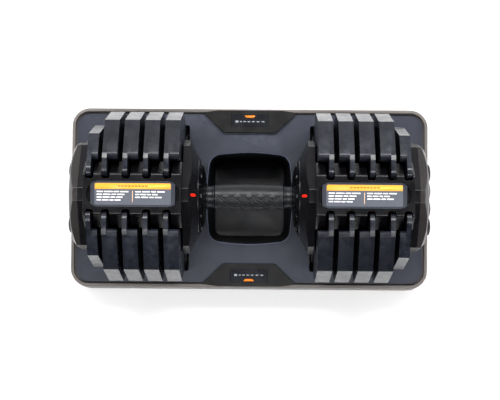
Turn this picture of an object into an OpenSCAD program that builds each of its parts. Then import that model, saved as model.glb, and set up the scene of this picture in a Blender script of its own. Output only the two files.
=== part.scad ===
// Adjustable dumbbell in its tray. Turning the handle chooses how many plates lift with it.
// X runs along the handle, Y towards the back, Z up. The origin is the floor under the tray's centre.

/* [Handle] */
// Height of the handle's axis above the floor
axis_z = 108; // [108:1:112]
// Length of the rubber grip
grip_length = 93; // [88:1:93]
// Diameter of the grip at its middle
grip_middle_d = 36.3; // [34:0.1:38]
// Diameter of the grip at its ends
grip_end_d = 33; // [31.5:0.1:34]
// Diameter of the steel shaft
shaft_d = 16; // [14:1:18]
// Largest radius of the number dial
dial_r = 52; // [50:1:52]

/* [Plates] */
// Distance from the centre to the innermost plate
first_plate_x = 90; // [89.5:0.5:91]
// Thickness of a big plate
big_plate_t = 19.5; // [19:0.5:20.5]
// Thickness of the small outermost plate
small_plate_t = 14; // [13:0.5:15]
// Gap between neighbouring plates
plate_gap = 7; // [6.5:0.5:7.5]
// Thickness of the web that the bridge's slots take
web_t = 6; // [5.5:0.5:6.5]

/* [Housings] */
// Thickness of the end housing without its cover
band_t = 9.5; // [9.5:0.5:12]
// Depth of the end cover
cover_t = 15.5; // [14.5:0.5:16]
// Height of the bridge's top above the axis
bridge_top = 95.5; // [93:0.5:96]

/* [Tray] */
// Length of the tray at its foot
tray_length = 508; // [507:1:520]
// Width of the tray at its foot
tray_width = 259; // [258:1:265]
// Radius of the tray's corners at its foot
tray_corner = 29; // [28:1:33]
// Height of the rim above the floor
rim_height = 53; // [53:0.5:55]
// Height of the deck above the floor
deck_height = 48; // [47:0.5:48.5]

/* [Selector] */
// Number of weight settings, one for each step of the handle
settings = 10; // [10:1:10]
// How far a lock slider drops when the dumbbell leaves the tray
lock_travel = 6; // [5:0.5:6]

/* [Hidden] */
$fn = 96;
sides = ["left", "right"];
plate_count = 5;
handed = ["cradle", "finger_grip", "inner_housing", "bridge", "label_panel", "end_housing", "end_cover",
    "lock_spring", "collar", "dial", "lock_slider"];

step_angle = 360 / settings;
clearance = 0.3;
arc_steps = 8;

// Plates, counted from 1 next to the handle to 5 at the end
function plate_in(n) = first_plate_x + (n - 1) * (big_plate_t + plate_gap);
function plate_t(n) = n < plate_count ? big_plate_t : small_plate_t;
function plate_out(n) = plate_in(n) + plate_t(n);
big_outline = [[24.5, 92], [27, 97], [32, 99.5], [52, 97], [98, 70], [115, 0], [98, -70], [52, -97]];
small_outline = [[24.5, 90], [27, 95.5], [32, 97.5], [50, 87.5], [80, 70], [96.5, 0], [80, -70],
    [50, -87.5]];
recess_r = 45;
slot_r = 23;
lug_half_w = 10;
lug_low = -31.5;
lug_high = -20;

// Selector discs. Part of the rim under a plate's lug lifts that plate. Settings count from 0.
// Plate n of the first four lifts from setting 2n on, and the outermost lifts at every odd setting.
disc_web_t = 3;
disc_outer_r = 39.5;
disc_inner_r = 34;
spacer_r = 12;
bushing_r = 15;
running_gap = 0.05;
function disc_x(n) = n == 1 ? plate_in(1) + 1.5 : plate_in(n) - disc_web_t;
function rim_end(n) = plate_out(n) - web_t - 1.5;

// Housings
housing_outline = [[8.4, 75], [67, 39], [77.5, 0], [67, -39], [8.4, -75]];
housing_bottom = -75;
wall = 3;
inset_scale = 0.957;
inner_face_x = 79;
inner_back_x = first_plate_x - 2.8;
end_x = plate_out(plate_count) + 4;
cover_x = end_x + band_t;
end_total_x = cover_x + cover_t;
// Plan of the outer end, in (y, x): its front and back edges are cut off at 45 degrees
end_plan = [[36, end_total_x], [50, end_total_x - 1], [58, end_total_x - 2.5], [62, end_total_x - 4.5],
    [79, end_total_x - 21.5], [79, end_x - 2]];
end_plan_inset = 4.5;
// Cone around the dial, in (x, radius), and the red marks laid into it
cone_low = [67.7, dial_r + 0.6];
cone_high = [inner_face_x, 75];
mark_x = [70, 76];
mark_half_w = 1.9;
mark_proud = 0.5;
mark_depth = 1.7;
bridge_x0 = inner_back_x + 0.1;
bridge_x1 = end_x - 0.1;
bridge_outline = [[24.5, bridge_top], [27.5, bridge_top - 2.5], [43.5, 68], [43.5, 5]];
bridge_cavity = [[22, bridge_top - 9.5], [40.3, 64], [40.3, -1]];
slot_w = 11;
slot_y = 19.7;
slot_shift = 1.3;
panel_x0 = 94.8;
panel_x1 = plate_out(plate_count) - 6.2;
panel_half_w = 16.7;
stadium_r = 17.2;
bridge_screws = [[-36, 44], [36, 44]];
cover_screws = [[-50, 26], [50, 26], [-50, -26], [50, -26]];
screw_r = 1.5;
screw_head_r = 3.2;

// Lock slider and the index wheel that its tooth drops into
wheel_x = end_x + 4.5;
wheel_t = 4;
wheel_r = 22;
notch_depth = lock_travel;
notch_half_w = 3;
slider_half_w = 29;
slider_low = -34;
slider_high = 40;
tab_half_w = 6;
tab_low = housing_bottom - 0.5;
spring_r = 4;
spring_wire_r = 0.8;
spring_turns = 5;
spring_high = 64;

// Tray
foot_t = 3;
floor_top = 6;
cradle_top = axis_z - 97 - clearance;
saddle_half_w = 24;
saddle_top = axis_z + housing_bottom - clearance;
bay_half_w = 102.5;
small_bay_half_w = 84.5;
notch_w = 37;
well = [59, 63.5, 17];
well_floor = [47, 50, 10];
rim_inset = 9;
ledge_w = 5.8;
groove_w = 2.2;
deck_t = 3;
deck_half = [tray_length / 2 - rim_inset - groove_w, tray_width / 2 - rim_inset - groove_w];
deck_corner = tray_corner - rim_inset - groove_w;
badge_outline = [[37, 92.6], [64, 118.3], [64, 120.3], [44, 123.2]];
badge_hold = 0.3;
badge_base = deck_height - 1.2;
badge_top = rim_height + 1;
grip_half_w = 50;
grip_lobes = 4;
grip_back_x = tray_length / 2 - 4.5;
grip_low = 12;
grip_high = 36;
grip_out = 7.5;
screw_spots = [[226, 98], [72, 88]];
foot_spots = [[203, 88], [0, 100], [215, 0]];

// Points of an arc, from angle a0 to a1
function arc(cx, cy, r, a0, a1, steps = arc_steps) =
    [for (i = [0:steps]) let (a = a0 + (a1 - a0) * i / steps) [cx + r * cos(a), cy + r * sin(a)]];

// Outline of a rectangle with round corners, from its half sizes
function rounded(hx, hy, r) = concat(
    arc(hx - r, hy - r, r, 0, 90),
    arc(r - hx, hy - r, r, 90, 180),
    arc(r - hx, r - hy, r, 180, 270),
    arc(hx - r, r - hy, r, 270, 360)
);

// A whole outline from its half on the +Y side
function both(half) = concat(half, [for (i = [len(half) - 1:-1:0]) [-half[i][0], half[i][1]]]);

function scaled(points, k) = [for (p = points) p * k];

// An outline in (y, z from the axis), extruded from x0 to x1
module along_x(x0, x1)
    translate([x0, 0, axis_z]) rotate([90, 0, 90]) linear_extrude(x1 - x0) children();

// A profile in (radius, x), turned about the handle's axis
module about_x()
    translate([0, 0, axis_z]) rotate([0, 90, 0]) rotate_extrude() children();

module tube_x(x0, x1, outer, inner)
    about_x() translate([inner, x0]) square([outer - inner, x1 - x0]);

module rod_x(x0, x1, r, y = 0, z = 0)
    translate([x0, y, axis_z + z]) rotate([0, 90, 0]) cylinder(r = r, h = x1 - x0);

module slab(hx, hy, r, z0, z1)
    translate([0, 0, z0]) linear_extrude(z1 - z0) polygon(rounded(hx, hy, r));

// A box from its two corners
module block(low, high)
    translate(low) cube(high - low);

// Everything is drawn for the right-hand end and mirrored for the left
module on_side(s)
    mirror([s == "left" ? 1 : 0, 0, 0]) children();

module on_both()
    for (s = sides) on_side(s) children();

// A slot with a round bottom, open at the top
module u_cut(r)
    polygon(concat(arc(0, 0, r, 180, 360, 3 * arc_steps), [[r, 120], [-r, 120]]));

module housing_shape(k = 1)
    polygon(scaled(both(housing_outline), k));

// ---- Tray ----

// Profile of the tray's wall, as distance from a corner's centre and height
wall_profile = [
    [tray_corner, foot_t], [tray_corner - 4.2, rim_height - 3], [tray_corner - 4.7, rim_height - 0.8],
    [tray_corner - 5.4, rim_height], [tray_corner - rim_inset + 0.4, rim_height],
    [tray_corner - rim_inset, rim_height - 0.5], [tray_corner - rim_inset, deck_height - deck_t],
    [tray_corner - rim_inset - ledge_w, deck_height - deck_t],
    [tray_corner - rim_inset - ledge_w, deck_height - deck_t - 2.5],
    [tray_corner - rim_inset, deck_height - deck_t - 8], [tray_corner - 4.7, foot_t]
];

module tray_wall() {
    cx = tray_length / 2 - tray_corner;
    cy = tray_width / 2 - tray_corner;
    for (sx = [0, 1], sy = [0, 1]) mirror([sx, 0, 0]) mirror([0, sy, 0])
        translate([cx, cy, 0]) rotate_extrude(angle = 90) polygon(wall_profile);
    for (sx = [0, 1]) mirror([sx, 0, 0])
        translate([cx, cy, 0]) rotate([90, 0, 0]) linear_extrude(2 * cy) polygon(wall_profile);
    for (sy = [0, 1]) mirror([0, sy, 0])
        translate([-cx, cy, 0]) rotate([90, 0, 90]) linear_extrude(2 * cx) polygon(wall_profile);
}

module at_screw_spots()
    for (spot = screw_spots, sx = [-1, 1], sy = [-1, 1])
        translate([sx * spot[0], sy * spot[1], 0]) children();

module tray_shell() color("dimgray")
    difference() {
        union() {
            tray_wall();
            base_inset = 4;
            slab(tray_length / 2 - base_inset, tray_width / 2 - base_inset, tray_corner - base_inset,
                foot_t, floor_top);
        }
        for (m = [0, 1]) mirror([0, m, 0]) badge_block(badge_hold, badge_base - 0.3, badge_top + 1);
        on_both() block([grip_back_x - 0.1, -grip_half_w - 0.2, grip_low - 0.2],
            [tray_length / 2 + 1, grip_half_w + 0.2, grip_high + 0.2]);
        at_screw_spots() {
            translate([0, 0, foot_t - 1]) cylinder(r = screw_head_r + 0.4, h = 2.8);
            translate([0, 0, foot_t - 1]) cylinder(r = screw_r + 0.3, h = 6);
        }
    }

module well_form(grow, z0, z1) hull() {
    slab(well[0] + grow, well[1] + grow, well[2] + grow, z1 - 0.5, z1);
    slab(well_floor[0] + grow, well_floor[1] + grow, well_floor[2] + grow, z0, z0 + 0.5);
}

module tray_deck() color("slategray")
    difference() {
        union() {
            slab(deck_half[0], deck_half[1], deck_corner, deck_height - deck_t, deck_height);
            well_form(2.5, floor_top + 0.3, deck_height);
            at_screw_spots()
                translate([0, 0, floor_top + 0.3]) cylinder(r = 5, h = deck_height - floor_top - 2);
        }
        well_form(0, floor_top + 2.8, deck_height + 0.5);
        at_screw_spots() translate([0, 0, floor_top - 1]) cylinder(r = screw_r - 0.05, h = 16);
        for (m = [0, 1]) mirror([0, m, 0]) badge_block(badge_hold, badge_base - 0.3, badge_top + 1);
        on_both() {
            block([first_plate_x - 5.5, -bay_half_w, 40], [plate_out(4) + 2, bay_half_w, 60]);
            block([plate_out(4), -small_bay_half_w, 40], [end_x - 2, small_bay_half_w, 60]);
            block([69, -notch_w, 40], [first_plate_x, notch_w, 60]);
            block([end_x - 3, -notch_w, 40], [end_total_x + 1.5, notch_w, 60]);
        }
    }

// Support under one side's plates, with ribs between them and a saddle under each housing
module cradle(s) color([0.07, 0.07, 0.08]) on_side(s) {
    half_w = 88;
    rib_t = plate_gap - 1.5;
    rib_gap = 0.75;
    difference() {
        union() {
            block([inner_back_x + 0.4, -half_w, floor_top],
                [plate_out(plate_count) + 1, half_w, cradle_top]);
            block([inner_back_x + 0.4, -half_w, cradle_top - 1], [first_plate_x - 0.6, half_w, 44]);
            block([inner_face_x, -saddle_half_w, floor_top], [cover_x, saddle_half_w, cradle_top]);
            for (n = [1:plate_count - 1])
                block([plate_out(n) + rib_gap, -half_w, cradle_top - 1],
                    [plate_out(n) + rib_gap + rib_t, half_w, 40]);
            saddle(inner_face_x + 0.5, inner_back_x - 0.5);
            saddle(end_x + 0.5, cover_x);
        }
        block([wheel_x - 0.5, -tab_half_w - 1, cradle_top],
            [cover_x + 1, tab_half_w + 1, saddle_top + 1]);
    }
}

// A block with a vee top that follows the underside of a housing
module saddle(x0, x1) {
    slope = housing_outline[0] - housing_outline[1];
    vee_rise = (housing_outline[0][0] - saddle_half_w) * slope[1] / slope[0];
    low = floor_top - axis_z;
    top = housing_bottom - 0.4;
    half = [[8.4, top], [saddle_half_w, top + vee_rise], [saddle_half_w, low]];
    along_x(x0, x1) polygon(both(half));
}

module release_posts() color([0.07, 0.07, 0.08]) on_both()
    block([wheel_x, -tab_half_w + 0.5, cradle_top],
        [wheel_x + wheel_t, tab_half_w - 0.5, axis_z + tab_low - clearance]);

// The body of a badge panel at the back edge, grown all round by a margin
module badge_block(grow, z0, z1) {
    half = [for (p = badge_outline) [p[0] + grow, p[1] + (p[1] < 100 ? -grow : grow)]];
    translate([0, 0, z0]) linear_extrude(z1 - z0) polygon(both(half));
}

module badge_panel(side_y) color([0.1, 0.1, 0.11]) mirror([0, side_y < 0 ? 1 : 0, 0])
    difference() {
        badge_block(0, badge_base, badge_top);
        translate([0, 109, badge_top - 1]) linear_extrude(2) polygon(rounded(26.2, 9.2, 1));
    }

module badge_plates() color([0.16, 0.17, 0.19])
    for (m = [0, 1]) mirror([0, m, 0])
        translate([0, 109, badge_top - 0.95]) linear_extrude(0.75) polygon(rounded(26, 9, 1));

// A scalloped grip of four lobes on the end wall
module finger_grip(s) color([0.04, 0.04, 0.05]) on_side(s) {
    steps = 12 * grip_lobes;
    lobes = [for (i = [0:steps]) let (t = i / steps)
        [grip_back_x + grip_out - 2.4 * pow(cos(180 * grip_lobes * t), 2) * (i % steps == 0 ? 1.6 : 1),
            -grip_half_w + 2 * grip_half_w * t]];
    translate([0, 0, grip_low]) linear_extrude(grip_high - grip_low)
        polygon(concat([[grip_back_x, -grip_half_w]], lobes, [[grip_back_x, grip_half_w]]));
}

module tray_feet() color([0.05, 0.05, 0.05])
    for (spot = foot_spots, sx = spot[0] == 0 ? [1] : [-1, 1], sy = spot[1] == 0 ? [1] : [-1, 1])
        translate([sx * spot[0], sy * spot[1], 0]) cylinder(r = 11, h = foot_t);

module tray_screws() color("gray") at_screw_spots() {
    translate([0, 0, foot_t]) cylinder(r = screw_head_r, h = 1.7);
    translate([0, 0, foot_t + 1]) cylinder(r = screw_r - 0.1, h = 11);
}

// ---- Dumbbell frame ----

module inner_housing(s) color([0.12, 0.12, 0.13]) on_side(s) {
    profile = [
        [bushing_r + 0.1, 72], [49, 72], [cone_low[1], cone_low[0]], [cone_high[1], cone_high[0]],
        [85, inner_face_x], [85, inner_back_x], [bushing_r + 0.1, inner_back_x]
    ];
    difference() {
        intersection() {
            about_x() polygon(profile);
            along_x(60, inner_back_x) housing_shape();
        }
        tube_x(inner_face_x - 2, inner_back_x + 1, 51, bushing_r + 4);
        for (p = bridge_screws) rod_x(inner_back_x - 7, inner_back_x + 1, screw_r - 0.05, p[0], p[1]);
        mark_form(clearance, 3);
    }
}

// A point on the cone around the dial, moved off its surface by lift
function cone_point(x, lift) = let (
    run = cone_high - cone_low
) cone_low + run * (x - cone_low[0]) / run[0] + lift * [-run[1], run[0]] / norm(run);

// A bar that follows the cone's slope at the top, grown all round by a margin
module mark_form(grow, lift)
    translate([0, mark_half_w + grow, axis_z]) rotate([90, 0, 0]) linear_extrude(2 * (mark_half_w + grow))
        polygon([
            cone_point(mark_x[0] - grow, lift), cone_point(mark_x[1] + grow, lift),
            cone_point(mark_x[1] + grow, -mark_depth - grow), cone_point(mark_x[0] - grow, -mark_depth - grow)
        ]);

// Red marks on top that point at the chosen number
module index_marks() color("red") on_both() mark_form(0, mark_proud);

// The arched crossbeam over the plates
module bridge(s) color([0.05, 0.05, 0.06]) on_side(s) {
    difference() {
        along_x(bridge_x0, bridge_x1) polygon(both(bridge_outline));
        along_x(bridge_x0 + wall, bridge_x1 - wall) polygon(both(bridge_cavity));
        rod_x(bridge_x0 - 1, bridge_x1 + 1, bushing_r + clearance);
        for (n = [1:plate_count], m = [0, 1]) mirror([0, m, 0])
            block([plate_out(n) - web_t / 2 - slot_shift - slot_w / 2, slot_y, axis_z - 5],
                [plate_out(n) - web_t / 2 - slot_shift + slot_w / 2, 60, axis_z + 110]);
        stadium(0, bridge_top - 2.5, bridge_top + 2.5);
        difference() {
            stadium(0, bridge_top - 6, bridge_top - 1);
            block([panel_x0 + 2, -20, axis_z], [panel_x1 - 2, 20, axis_z + 120]);
        }
        for (p = bridge_screws) {
            rod_x(bridge_x0 - 1, bridge_x1 + 1, screw_r + 0.3, p[0], p[1]);
            rod_x(bridge_x1 - wall - 1, bridge_x1 - 1.3, screw_head_r + 0.3, p[0], p[1]);
        }
    }
}

// The long round-ended well in the bridge's top, shrunk all round by a margin, between two heights
module stadium(shrink, z0, z1) {
    r = stadium_r - shrink;
    translate([0, 0, axis_z + z0]) linear_extrude(z1 - z0) polygon(concat(
        arc(panel_x1 + 6 - stadium_r, 0, r, -90, 90, 2 * arc_steps),
        arc(panel_x0 - 6 + stadium_r, 0, r, 90, 270, 2 * arc_steps)
    ));
}

module label_panel(s) color("gray") on_side(s)
    intersection() {
        stadium(clearance, bridge_top - 2.4, bridge_top - 0.4);
        block([panel_x0, -panel_half_w, axis_z + bridge_top - 5],
            [panel_x1, panel_half_w, axis_z + bridge_top]);
    }

// An upright block with the plan of the outer end, moved inwards by a margin
module end_form(inset)
    linear_extrude(axis_z + 100) polygon([for (p = both(end_plan)) [p[1] - inset, p[0]]]);

module end_housing(s) color([0.12, 0.12, 0.13]) on_side(s)
    difference() {
        union() {
            difference() {
                intersection() {
                    along_x(end_x, cover_x) housing_shape();
                    end_form(0);
                }
                intersection() {
                    along_x(end_x + wall, cover_x + 1) housing_shape(inset_scale);
                    end_form(end_plan_inset);
                }
            }
            for (p = bridge_screws) rod_x(end_x + 1, end_x + 8, 4, p[0], p[1]);
            block([end_x + 1, -6, axis_z + spring_high + 0.1], [cover_x, 6, axis_z + 73]);
        }
        rod_x(end_x - 1, end_x + 5, bushing_r + 0.1);
        for (p = bridge_screws) rod_x(end_x - 1, end_x + 9, screw_r - 0.05, p[0], p[1]);
        for (p = cover_screws) {
            rod_x(end_x - 1, end_x + 5, screw_r + 0.3, p[0], p[1]);
            rod_x(end_x - 1, end_x + 1.4, screw_head_r + 0.3, p[0], p[1]);
        }
        block([wheel_x - 0.4, -tab_half_w - 0.4, axis_z - 80],
            [wheel_x + wheel_t + 0.4, tab_half_w + 0.4, axis_z - 60]);
    }

// The faceted dome that closes the end
module end_cover(s) color([0.3, 0.29, 0.28]) on_side(s) {
    outer = [[0, cover_x], [84, cover_x], [84, cover_x + 1], [66, end_total_x - 3.5], [50, end_total_x - 0.6],
        [30, end_total_x], [0, end_total_x]];
    inner = [[0, cover_x - 1], [80, cover_x - 1], [63, end_total_x - 7], [48, end_total_x - 4],
        [0, end_total_x - 3.2]];
    difference() {
        union() {
            difference() {
                intersection() {
                    about_x() polygon(outer);
                    along_x(cover_x, end_total_x) housing_shape();
                    end_form(0);
                }
                intersection() {
                    about_x() polygon(inner);
                    along_x(cover_x - 1, end_total_x) housing_shape(inset_scale);
                    end_form(end_plan_inset);
                }
            }
            for (p = cover_screws) rod_x(end_x + wall + 0.2, end_total_x - 4, 4, p[0], p[1]);
        }
        for (p = cover_screws) rod_x(end_x, end_x + 15, screw_r - 0.05, p[0], p[1]);
    }
}

module screw_x(x0, length, p, flip = 1) {
    rod_x(flip > 0 ? x0 : x0 - 1.2, flip > 0 ? x0 + 1.2 : x0, screw_head_r, p[0], p[1]);
    rod_x(flip > 0 ? x0 : x0 - length, flip > 0 ? x0 + length : x0, screw_r - 0.1, p[0], p[1]);
}

module housing_screws() color("gray") on_both() {
    for (p = bridge_screws) {
        screw_x(bridge_x0 + wall + 1.3, 9, p, -1);
        screw_x(bridge_x1 - 2.6, 9, p);
    }
    for (p = cover_screws) screw_x(end_x + 0.1, 13, p);
}

module inner_bushings() color("goldenrod") on_both()
    tube_x(72.2, inner_back_x, bushing_r, spacer_r + running_gap);

module end_bushings() color("goldenrod") on_both()
    tube_x(end_x - 1.5, end_x + wall, bushing_r, spacer_r + running_gap);

// Rings of points along the helix of a spring's wire
module lock_spring(s) color("silver") on_side(s) {
    ring = 6;
    per_turn = 12;
    low = slider_high + 0.2 + spring_wire_r;
    high = spring_high - spring_wire_r;
    steps = per_turn * spring_turns;
    points = [for (i = [0:steps], j = [0:ring - 1]) let (
        turn = 360 * i / per_turn,
        a = 360 * j / ring,
        r = spring_r + spring_wire_r * cos(a)
    ) [r * cos(turn), r * sin(turn), low + (high - low) * i / steps + spring_wire_r * sin(a)]];
    sides_of = [for (i = [0:steps - 1], j = [0:ring - 1])
        [i * ring + j, i * ring + (j + 1) % ring, (i + 1) * ring + (j + 1) % ring, (i + 1) * ring + j]];
    caps = [[for (j = [ring - 1:-1:0]) j], [for (j = [0:ring - 1]) steps * ring + j]];
    translate([wheel_x + wheel_t / 2 + 1.7, 0, axis_z]) polyhedron(points, concat(sides_of, caps));
}

// ---- Turning handle ----

module handle_shaft() color("silver")
    rod_x(-end_total_x + 6, end_total_x - 6, shaft_d / 2);

module grip_core() color([0.2, 0.2, 0.2])
    tube_x(-57.6, 57.6, 13, shaft_d / 2 + running_gap);

module grip() color([0.1, 0.1, 0.11]) {
    half = grip_length / 2;
    // The barrel's radius falls off with the square of the distance from the middle
    drop = (grip_middle_d - grip_end_d) / 2;
    barrel = [for (t = [-1:1 / 8:1]) [grip_middle_d / 2 - drop * t * t, half * t]];
    about_x() polygon(concat([[13.1, -half]], barrel, [[13.1, half]]));
}

module collar(s) color([0.1, 0.11, 0.12]) on_side(s) {
    x0 = grip_length / 2 + 1;
    about_x() polygon([[13.1, x0], [15.2, x0], [15.2, x0 + 1.6], [14.6, x0 + 2.2], [14.6, 56], [15.2, 56.6],
        [15.2, 57.6], [13.1, 57.6]]);
}

// Shallow cone that carries the numbers, with the hub that turns in the inner bushing
module dial(s) color([0.03, 0.03, 0.04]) on_side(s) {
    hub_end = disc_x(1);
    bore = shaft_d / 2 + running_gap;
    about_x() polygon([[bore, 57.8], [16, 57.8], [33, 59.8], [40, 61.5], [dial_r, 67], [dial_r, 68.2],
        [48, 69.8], [40, 66], [spacer_r, 66], [spacer_r, hub_end], [bore, hub_end]]);
}

// Part of a disc's rim, under the lugs for a run of settings that ends at setting k
module rim_sector(x0, x1, k, run)
    translate([0, 0, axis_z]) rotate([0, 90, 0]) rotate([0, 0, step_angle * (settings - 1.5 - k)])
        rotate_extrude(angle = step_angle * run)
            translate([disc_inner_r, x0]) square([disc_outer_r - 0.5 - disc_inner_r, x1 - x0]);

module selector_disc(s, n) color("darkorange") on_side(s) {
    x0 = disc_x(n);
    rim_x = x0 + disc_web_t - 0.5;
    tube_x(x0, x0 + disc_web_t, disc_outer_r, shaft_d / 2 + running_gap);
    if (n < plate_count)
        rim_sector(rim_x, rim_end(n), settings - 1, settings - 2 * n);
    else
        for (k = [1:2:settings - 1]) rim_sector(rim_x, rim_end(n), k, 1);
}

module shaft_spacers() color("silver") on_both()
    for (n = [1:plate_count])
        tube_x(disc_x(n) + disc_web_t, n < plate_count ? disc_x(n + 1) : wheel_x,
            spacer_r, shaft_d / 2 + running_gap);

// Wheel with one notch for each setting
module index_wheels() color("silver") on_both()
    difference() {
        tube_x(wheel_x, wheel_x + wheel_t, wheel_r, shaft_d / 2 + running_gap);
        for (k = [0:settings - 1])
            along_x(wheel_x - 1, wheel_x + wheel_t + 1) rotate(k * step_angle)
                translate([-notch_half_w, wheel_r - notch_depth])
                    square([2 * notch_half_w, notch_depth + 5]);
    }

module shaft_nuts() color("silver") on_both()
    difference() {
        along_x(wheel_x + wheel_t, wheel_x + wheel_t + 7) circle(r = 13, $fn = 6);
        rod_x(wheel_x, wheel_x + 20, shaft_d / 2 + running_gap);
    }

// ---- Lock sliders ----

// A frame around the index wheel. A post in the tray holds it up.
// Off the tray, its tooth drops into one of the wheel's notches.
module lock_slider(s) color("gray") on_side(s)
    along_x(wheel_x, wheel_x + wheel_t) {
        window_half_w = 24.5;
        difference() {
            translate([-slider_half_w, slider_low]) square([2 * slider_half_w, slider_high - slider_low]);
            translate([-window_half_w, -wheel_r - 5])
                square([2 * window_half_w, 2 * wheel_r + lock_travel + 8]);
        }
        translate([-2.2, wheel_r + 1.2]) square([4.4, 10]);
        translate([-tab_half_w, tab_low]) square([2 * tab_half_w, slider_low - tab_low + 1]);
    }

// ---- Plates ----

module plate(s, n) color(n < plate_count ? [0.2, 0.21, 0.24] : [0.18, 0.19, 0.22]) on_side(s) {
    x0 = plate_in(n);
    x1 = plate_out(n);
    difference() {
        along_x(x0, x1) polygon(both(n < plate_count ? big_outline : small_outline));
        along_x(x0 - 1, x1 - web_t) u_cut(recess_r);
        along_x(x0 - 1, x1 + 1) u_cut(slot_r);
    }
    difference() {
        lug_x = n == 1 ? disc_x(1) + disc_web_t + 1.5 : x0 + 2;
        along_x(lug_x, x1 - web_t + 1)
            translate([-lug_half_w, lug_low]) square([2 * lug_half_w, lug_high - lug_low]);
        along_x(x0 - 1, x1 + 1) u_cut(slot_r);
    }
}

tray_shell();
tray_deck();
cradle("left");  // cradle_left
cradle("right");  // cradle_right
badge_panel(-1);  // badge_panel_front
badge_panel(1);  // badge_panel_back
badge_plates();
finger_grip("left");  // finger_grip_left
finger_grip("right");  // finger_grip_right
tray_feet();
tray_screws();
release_posts();
inner_housing("left");  // inner_housing_left
inner_housing("right");  // inner_housing_right
bridge("left");  // bridge_left
bridge("right");  // bridge_right
label_panel("left");  // label_panel_left
label_panel("right");  // label_panel_right
end_housing("left");  // end_housing_left
end_housing("right");  // end_housing_right
end_cover("left");  // end_cover_left
end_cover("right");  // end_cover_right
index_marks();
housing_screws();
inner_bushings();
end_bushings();
lock_spring("left");  // lock_spring_left
lock_spring("right");  // lock_spring_right
grip();
grip_core();
handle_shaft();
collar("left");  // collar_left
collar("right");  // collar_right
dial("left");  // dial_left
dial("right");  // dial_right
shaft_spacers();
shaft_nuts();
index_wheels();
lock_slider("left");  // lock_slider_left
lock_slider("right");  // lock_slider_right
for (s = sides, n = [1:plate_count]) {
    selector_disc(s, n);
    plate(s, n);
}
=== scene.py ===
# Looks of the adjustable dumbbell in its tray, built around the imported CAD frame.
# Lengths in the builders are millimetres. X runs along the handle, Y towards the back, Z up.
import math

import bmesh
import bpy
from mathutils import Matrix, Vector


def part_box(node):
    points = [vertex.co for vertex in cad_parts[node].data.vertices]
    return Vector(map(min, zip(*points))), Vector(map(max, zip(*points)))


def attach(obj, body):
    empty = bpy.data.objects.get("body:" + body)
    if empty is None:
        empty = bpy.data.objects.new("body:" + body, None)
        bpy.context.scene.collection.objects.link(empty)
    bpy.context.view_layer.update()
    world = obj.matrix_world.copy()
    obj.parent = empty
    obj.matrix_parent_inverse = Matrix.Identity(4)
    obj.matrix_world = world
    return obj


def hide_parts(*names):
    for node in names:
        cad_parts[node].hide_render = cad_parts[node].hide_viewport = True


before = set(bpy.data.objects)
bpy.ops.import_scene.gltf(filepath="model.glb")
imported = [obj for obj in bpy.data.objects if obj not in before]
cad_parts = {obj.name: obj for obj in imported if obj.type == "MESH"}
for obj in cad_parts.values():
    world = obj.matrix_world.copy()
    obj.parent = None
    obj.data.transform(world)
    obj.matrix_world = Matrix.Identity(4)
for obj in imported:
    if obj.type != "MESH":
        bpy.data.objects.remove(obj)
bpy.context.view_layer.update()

MM = 0.001
SIDES = {"left": -1, "right": 1}
PLATES = range(1, 6)


def span(node, axis):
    """Lowest and highest value of a CAD node along an axis, in mm."""
    low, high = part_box(node)
    return low[axis] / MM, high[axis] / MM


AXIS_Z = sum(span("handle_shaft", 2)) / 2


# ---------------------------------------------------------------- outlines

def arc(cx, cy, radius, start, end, steps=8):
    """Points of an arc between two angles in degrees."""
    angles = [math.radians(start + (end - start) * i / steps) for i in range(steps + 1)]
    return [(cx + radius * math.cos(a), cy + radius * math.sin(a)) for a in angles]


def fillet(points, radii, steps=5):
    """An outline with its corners rounded. radii is one radius, or one for each corner."""
    if not isinstance(radii, (list, tuple)):
        radii = [radii] * len(points)
    result = []
    for i, (point, radius) in enumerate(zip(points, radii)):
        here = Vector(point)
        before = Vector(points[i - 1]) - here
        after = Vector(points[(i + 1) % len(points)]) - here
        half = before.angle(after) / 2
        if radius <= 0 or half > math.radians(89):
            result.append(tuple(here))
            continue
        reach = min(radius / math.tan(half), 0.49 * before.length, 0.49 * after.length)
        radius = reach * math.tan(half)
        inwards = (before.normalized() + after.normalized()).normalized()
        centre = here + inwards * (radius / math.sin(half))
        first = here + before.normalized() * reach - centre
        turn = first.angle_signed(here + after.normalized() * reach - centre)
        for k in range(steps + 1):
            result.append(tuple(centre + Matrix.Rotation(-turn * k / steps, 2) @ first))
    return result


def both(half):
    """A whole outline from its half on the +Y side."""
    return list(half) + [(-u, v) for u, v in reversed(half)]


def rounded(hx, hy, radius, steps=8, bulge=None):
    """Rectangle with round corners. With a bulge, even of 0, its sides have points of their own."""
    corners = ((1, 1), (-1, 1), (-1, -1), (1, -1))
    side_steps = 12
    points = []
    for quarter, (sx, sy) in enumerate(corners):
        points += arc(sx * (hx - radius), sy * (hy - radius), radius, 90 * quarter, 90 * quarter + 90, steps)
        if bulge is None:
            continue
        next_sx, next_sy = corners[(quarter + 1) % 4]
        x0, y0 = points[-1]
        if quarter % 2 == 0:
            x1, y1, out_x, out_y = next_sx * (hx - radius), y0, 0, sy
        else:
            x1, y1, out_x, out_y = x0, next_sy * (hy - radius), sx, 0
        for k in range(1, side_steps):
            t = k / side_steps
            push = bulge * math.sin(math.pi * t)
            points.append((x0 + (x1 - x0) * t + out_x * push, y0 + (y1 - y0) * t + out_y * push))
    return points


# ---------------------------------------------------------------- meshes

def along_x(sign):
    """Places (y, z from the axis, x)."""
    return lambda u, v, w: (sign * w * MM, u * MM, (v + AXIS_Z) * MM)


def upright(sign_x=1, sign_y=1):
    """Places (x, y, z)."""
    return lambda u, v, w: (sign_x * u * MM, sign_y * v * MM, w * MM)


def about_axis(x, radius, angle):
    """A point in metres, x along the axis and at a radius and an angle about it."""
    return x * MM, radius * math.cos(angle) * MM, (AXIS_Z + radius * math.sin(angle)) * MM


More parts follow.
